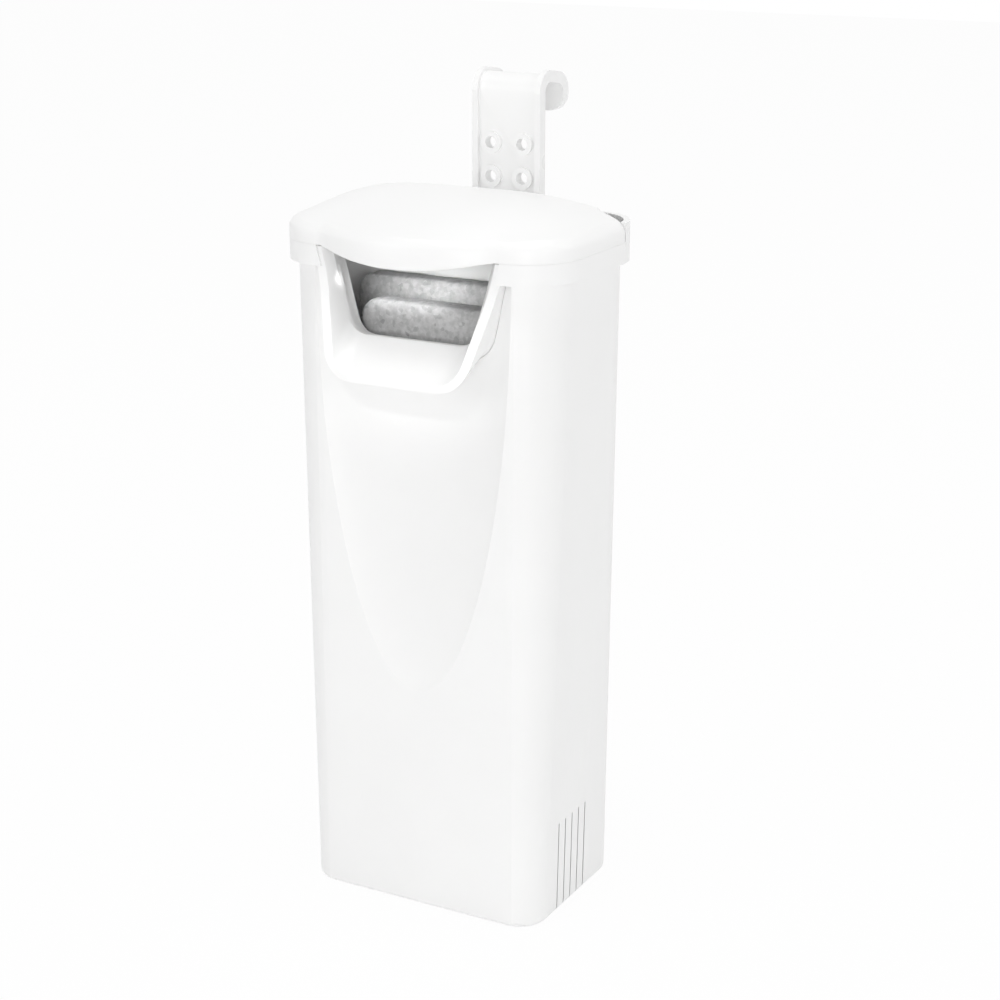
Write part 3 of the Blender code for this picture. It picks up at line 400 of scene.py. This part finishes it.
def light_room():
    """An even room, which looks plain white to the camera and in reflections."""
    world = bpy.data.worlds.new("studio")
    bpy.context.scene.world = world
    world.use_nodes = True
    nodes = world.node_tree.nodes
    links = world.node_tree.links
    room = nodes["Background"]
    room.inputs["Strength"].default_value = ROOM_LIGHT
    shown = nodes.new("ShaderNodeBackground")
    shown.inputs["Color"].default_value = (1, 1, 1, 1)
    room.inputs["Color"].default_value = (1, 1, 1, 1)
    mix = nodes.new("ShaderNodeMixShader")
    links.new(seen_rays(nodes, links), mix.inputs["Fac"])
    links.new(room.outputs[0], mix.inputs[1])
    links.new(shown.outputs[0], mix.inputs[2])
    links.new(mix.outputs[0], nodes["World Output"].inputs["Surface"])


def add_lamp(data, power, aim, azimuth, elevation, distance):
    """A lamp that faces its aim from a direction and a distance."""
    data.energy = power
    lamp = bpy.data.objects.new(data.name, data)
    out = outward(azimuth, elevation)
    lamp.location = Vector(aim) + out * distance
    lamp.rotation_euler = (-out).to_track_quat("-Z", "Y").to_euler()
    bpy.context.scene.collection.objects.link(lamp)
    return lamp


def place_softboxes():
    """Large soft lamps round the part and one overhead."""
    for name, azimuth, elevation, distance, power in SOFTBOXES:
        data = bpy.data.lights.new(name, "AREA")
        data.size = SOFTBOX_SIZE
        add_lamp(data, power, LIGHT_AIM, azimuth, elevation, distance)


def place_strip(name, place, tilt, size, spread, power):
    """A rectangular lamp that faces the rear, tilted down by an angle; it isn't seen itself."""
    data = bpy.data.lights.new(name, "AREA")
    data.shape = "RECTANGLE"
    data.size, data.size_y = size
    data.spread = math.radians(spread)
    lamp = add_lamp(data, power, place, 0, tilt, 0)
    lamp.visible_camera = False
    lamp.visible_glossy = False


def place_snoots():
    """Small snooted lamps that look into the spout, at its pads and its apron."""
    for name, aim, azimuth, elevation, width, height, power in SNOOTS:
        data = bpy.data.lights.new(name, "SPOT")
        data.spot_size = 2 * math.atan(width / 2 / SNOOT_DISTANCE)
        data.spot_blend = SNOOT_BLEND
        data.shadow_soft_size = SNOOT_RADIUS
        lamp = add_lamp(data, power, aim, azimuth, elevation, SNOOT_DISTANCE)
        lamp.scale = (1, height / width, 1)


def add_piece(name, bm, node):
    """A new piece that stands for a CAD node, with the node's body, slot and finish."""
    mesh = bpy.data.meshes.new(name)
    bm.to_mesh(mesh)
    bm.free()
    piece = bpy.data.objects.new(name, mesh)
    bpy.context.scene.collection.objects.link(piece)
    mesh.materials.append(MATERIALS[NODE_SLOT[node]])
    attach(piece, NODE_BODY[node])
    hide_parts(node)
    return piece


def joined(node):
    """The node's surface with its facets joined."""
    bm = bmesh.new()
    bm.from_mesh(frame["nodes"][node].data)
    bmesh.ops.remove_doubles(bm, verts=bm.verts, dist=WELD_GAP)
    return bm


def welded(node):
    """The node's surface with its facets joined and its flat faces made whole."""
    bm = joined(node)
    bmesh.ops.dissolve_limit(bm, angle_limit=math.radians(FLAT_ANGLE), verts=bm.verts, edges=bm.edges)
    return bm


def smooth_shade(piece, angle=SMOOTH_ANGLE):
    """Smooth shading that keeps edges sharper than an angle."""
    piece.data.shade_smooth()
    piece.data.set_sharp_from_angle(angle=math.radians(angle))


def softened(node, width):
    """A node as its solid is, with its moulded edges eased where a width is given."""
    piece = add_piece(node + "_finish", welded(node), node)
    smooth_shade(piece)
    if width:
        ease = piece.modifiers.new("ease", "BEVEL")
        ease.width = width
        ease.segments = EASE_SEGMENTS
        ease.limit_method = "ANGLE"
        ease.angle_limit = math.radians(BEVEL_ANGLE)


def split_faces(bm, faces):
    """Cut the edges of some faces into equal lengths and fill between; returns the new faces."""
    bm.faces.index_update()
    numbers = [face.index for face in faces]
    layer = bm.faces.layers.int.new("fine")
    bm.faces.ensure_lookup_table()
    faces = bmesh.ops.triangulate(bm, faces=[bm.faces[number] for number in numbers])["faces"]
    for face in faces:
        face[layer] = 1
    edges = list({edge for face in faces for edge in face.edges})
    bmesh.ops.subdivide_edges(bm, edges=edges, cuts=FINE_CUTS, use_grid_fill=True)
    return [face for face in bm.faces if face[layer] == 1]


def sharpen(piece, marks):
    """Keep these edges crisp, whatever their angle."""
    sharp = piece.data.attributes.get("sharp_edge")
    for edge in piece.data.edges:
        if tuple(sorted(edge.vertices)) in marks:
            sharp.data[edge.index].value = True


def narrow_slots(bm):
    """Draw the outer edges of the intake slots in."""
    for vert in bm.verts:
        outer = SLOT_HALF_X + vert.co.z * SLOT_DRAFT
        if vert.co.z < SLOT_TOP_Z and abs(vert.co.x) > outer:
            for number in range(SLOT_COUNT):
                middle = SLOT_MIDDLE_Y + (number - (SLOT_COUNT - 1) / 2) * SLOT_PITCH
                off = vert.co.y - middle
                if abs(abs(off) - SLOT_WIDTH / 2) < SAME_PLACE:
                    vert.co.y = middle + off * SLOT_EDGE_SHARE


def fine_case():
    """The case with narrower slots, and its chute's facets split and drawn on to the true egg shape."""
    across = CHUTE_BULGE + CHUTE_DEPTH
    spread = math.sqrt(1 - (CHUTE_BULGE / across) ** 2)
    half = Vector((CHUTE_HALF_WIDTH / spread, across, (CHUTE_CENTRE_Z - CHUTE_TIP_Z) / spread))
    centre = Vector((0, FRONT_Y - CHUTE_BULGE, CHUTE_CENTRE_Z))

    def on_egg(vert):
        off = vert.co - centre
        return abs(sum((off[axis] / half[axis]) ** 2 for axis in range(3)) - 1) < NEAR_EGG

    bm = welded("outer_case")
    narrow_slots(bm)
    chute = [f for f in bm.faces if f.normal.y < CHUTE_FACING and all(on_egg(v) for v in f.verts)]
    inset_y = FRONT_Y + CHUTE_INSET
    chute = [f for f in chute if abs(f.normal.y) < FRONT_FACING or f.calc_center_median().y > inset_y]
    chute = split_faces(bm, chute)
    inside = set(chute)
    for vert in {v for f in chute for v in f.verts}:
        on_edge = any(f not in inside for f in vert.link_faces)
        off = vert.co - centre
        flat = (off.x / half.x) ** 2 + (off.z / half.z) ** 2
        if on_edge and abs(vert.co.y - FRONT_Y) < SAME_PLANE:
            scale = spread / math.sqrt(flat)
            vert.co.x *= scale
            vert.co.z = centre.z + off.z * scale
        elif not on_edge:
            vert.co.y = centre.y + half.y * math.sqrt(max(0.0, 1 - flat))
    crease = [e for e in bm.edges if len({f in inside for f in e.link_faces}) == 2]
    bm.verts.index_update()
    marks = {tuple(sorted(v.index for v in e.verts)) for e in crease}
    piece = add_piece("outer_case_finish", bm, "outer_case")
    smooth_shade(piece)
    sharpen(piece, marks)


def lid_top(x, y, reach):
    """Height of a dome that runs out at a reach from the lid's middle."""
    across = 1 - min(1.0, abs(x) / LID_HALF.x) ** LID_SIDE_POWER
    along = 1 - min(1.0, abs(y) / reach) ** LID_END_POWER
    return LID_EDGE_Z + LID_CROWN * across * along


def visor_top(x, y):
    """Height of the dome where its front runs on smoothly into the visor."""
    swell = VISOR_REACH * math.cos(math.pi / 2 * min(1.0, abs(x) / VISOR_BLEND)) ** 2
    return lid_top(x, y, LID_HALF.y + (swell if y < 0 else 0))


def fine_lid():
    """The lid with its dome split fine and run on into the visor; its skirt sits close on the collar."""
    bm = joined("lid")

    def on_dome(vert):
        return abs(vert.co.z - lid_top(vert.co.x, vert.co.y, LID_HALF.y)) < NEAR_DOME

    dome = [f for f in bm.faces if f.normal.z > DOME_FACING and all(on_dome(v) for v in f.verts)]
    dome = split_faces(bm, dome)
    bm.normal_update()
    inside = set(dome)
    upper = {v for f in bm.faces if f.normal.z > UPPER_FACING for v in f.verts}
    for vert in upper:
        x, y, z = vert.co
        if all(f in inside for f in vert.link_faces):
            vert.co.z = visor_top(x, y)
        elif z > LID_EDGE_Z - LID_ROUND_DEPTH:
            vert.co.z += visor_top(x, y) - lid_top(x, y, LID_HALF.y)
    for vert in bm.verts:
        if abs(vert.co.z - LID_LOW_Z) < SAME_PLACE:
            vert.co.z -= LID_SETTLE
    piece = add_piece("lid_finish", bm, "lid")
    smooth_shade(piece)


def fine_spout():
    """The collar and spout with a full round on the lip; the spout's sides sit close in the case."""
    bm = welded("spout_frame")
    bm.normal_update()

    def on_outside(face):
        middle = face.calc_center_median()
        away = face.normal.dot(Vector((middle.x, 0, SPOUT_DOWNWARD))) > 0
        sideways = abs(face.normal.y) < SIDE_FACING
        return away and sideways and middle.y < SPOUT_BACK_Y and middle.z < COLLAR_LOW_Z

    outside = [f for f in bm.faces if on_outside(f)]
    for vert in {v for f in outside for v in f.verts}:
        out = sum((f.normal for f in vert.link_faces if f in outside), Vector())
        out.y = 0
        vert.co += out.normalized() * SPOUT_SETTLE
    weight = bm.edges.layers.float.new("bevel_weight_edge")
    for edge in bm.edges:
        if len(edge.link_faces) == 2 and edge.calc_face_angle() > math.radians(BEVEL_ANGLE):
            on_lip = all(v.co.y < LIP_FROM_Y and v.co.z < COLLAR_LOW_Z for v in edge.verts)
            edge[weight] = 1.0 if on_lip else EDGE_SHARE
    piece = add_piece("spout_frame_finish", bm, "spout_frame")
    smooth_shade(piece)
    ease = piece.modifiers.new("ease", "BEVEL")
    ease.width = LIP_ROUND
    ease.segments = LIP_SEGMENTS
    ease.limit_method = "WEIGHT"


def clamped(value, limit):
    """A value held between minus and plus a limit."""
    return max(-limit, min(limit, value))


def foam_pad(node):
    """A foam sheet with soft round edges and an uneven, open face, in its node's space."""
    low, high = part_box(node)
    middle = (low + high) / 2
    half = (high - low) / 2
    bm = bmesh.new()
    bmesh.ops.create_cube(bm, size=2)
    for axis in range(3):
        edges = [e for e in bm.edges if abs((e.verts[0].co - e.verts[1].co)[axis]) > ALONG_AXIS]
        cuts = max(FOAM_LEAST_STEPS, round(2 * half[axis] / FOAM_SPACING)) - 1
        bmesh.ops.subdivide_edges(bm, edges=edges, cuts=cuts, use_grid_fill=True)
    for vert in bm.verts:
        spot = Vector([vert.co[axis] * half[axis] for axis in range(3)])
        core = Vector((clamped(spot.x, half.x - FOAM_CORNER), 0, clamped(spot.z, half.z - FOAM_CORNER)))
        out = Vector((spot.x - core.x, 0, spot.z - core.z))
        if out.length > TINY:
            squareness = max(abs(out.x), abs(out.z)) / out.length
            out *= squareness
        spot = Vector((core.x + out.x, spot.y, core.z + out.z))
        core = Vector([clamped(spot[axis], half[axis] - FOAM_EDGE) for axis in range(3)])
        if out.length >= FOAM_CORNER - FOAM_EDGE:
            core.x = spot.x - out.x * FOAM_EDGE / FOAM_CORNER
            core.z = spot.z - out.z * FOAM_EDGE / FOAM_CORNER
        edge = spot - core
        if edge.length > FOAM_EDGE:
            spot = core + edge.normalized() * FOAM_EDGE
        face = edge.normalized() if edge.length > TINY else Vector((0, 1, 0))
        lump = FOAM_LUMP_SHARE * noise.noise(spot * FOAM_LUMPS)
        lump += (1 - FOAM_LUMP_SHARE) * noise.noise(spot * FOAM_GRAINS)
        vert.co = middle + spot + face * (lump - FOAM_SINK) * FOAM_ROUGHNESS
    piece = add_piece(node + "_foam", bm, node)
    smooth_shade(piece, FOAM_SMOOTH_ANGLE)


place_camera()
place_floor()
light_room()
place_softboxes()
place_strip("front_strip", STRIP_PLACE, STRIP_TILT, STRIP_SIZE, STRIP_SPREAD, STRIP_POWER)
place_snoots()
place_strip(
    "visor_lamp", VISOR_LAMP_PLACE, VISOR_LAMP_TILT, VISOR_LAMP_SIZE, VISOR_LAMP_SPREAD, VISOR_LAMP_POWER,
)
bpy.context.scene.view_settings.view_transform = "Standard"
fine_case()
fine_lid()
fine_spout()
for node_name in frame["nodes"]:
    if NODE_SLOT[node_name] != "pad_foam" and node_name not in ("outer_case", "lid", "spout_frame"):
        softened(node_name, EASED.get(node_name, 0))
foam_pad("front_filter_pad")
foam_pad("rear_filter_pad")
